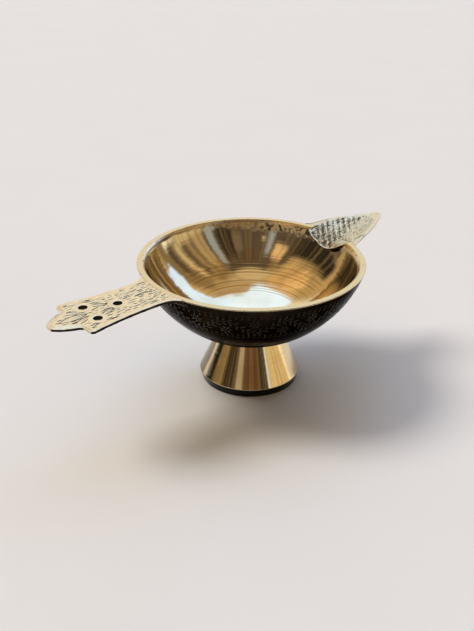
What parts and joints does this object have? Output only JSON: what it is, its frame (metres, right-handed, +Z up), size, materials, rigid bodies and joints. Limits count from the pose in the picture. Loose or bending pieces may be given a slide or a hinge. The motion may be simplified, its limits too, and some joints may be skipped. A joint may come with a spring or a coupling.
{
  "type": "aarti lamp",
  "caption": "Brass aarti lamp: a polished round bowl on a screwed conical foot, with a flat engraved handle and a leaf-shaped wick rest let into the rim.",
  "frame": {"origin": "on the turning axis of the bowl and the foot, in the plane that the foot stands on", "axes": "+Z up along the turning axis, +X towards the leaf's tip, the handle along -X"},
  "size_m": [0.162, 0.09, 0.0544],
  "materials": {
    "bowl_brass": "mirror polished and turned inside, pale satin rim, dark engraved outside",
    "handle_brass": "pale satin brass, engraved on top",
    "leaf_brass": "pale greyish brass, veined in the trough, smooth border",
    "foot_brass": "turned and polished",
    "braze_metal": "as brazed, satin",
    "fastener_steel": "plated steel"
  },
  "bodies": {
    "foot": {"foot": "foot_brass", "plain_washer": "fastener_steel", "spring_washer": "fastener_steel"},
    "screw": {"foot_screw": "fastener_steel"},
    "bowl": {"bowl": "bowl_brass", "handle": "handle_brass", "handle_braze": "braze_metal", "leaf_wick_rest": "leaf_brass", "leaf_braze": "braze_metal"}
  },
  "joints": [
    {"name": "bowl_lift", "type": "slide", "parent": "foot", "child": "bowl", "axis": [0, 0, 1], "range_m": [0, 0.006]},
    {"name": "screw_turn", "type": "hinge", "parent": "foot", "child": "screw", "pos_m": [0, 0, 0.0063], "axis": [0, 0, -1], "range_deg": [0, 2160]}
  ],
  "couplings": [
    {"joint": "screw_turn", "follows": "bowl_lift", "rad_per_m": 6283.2}
  ]
}
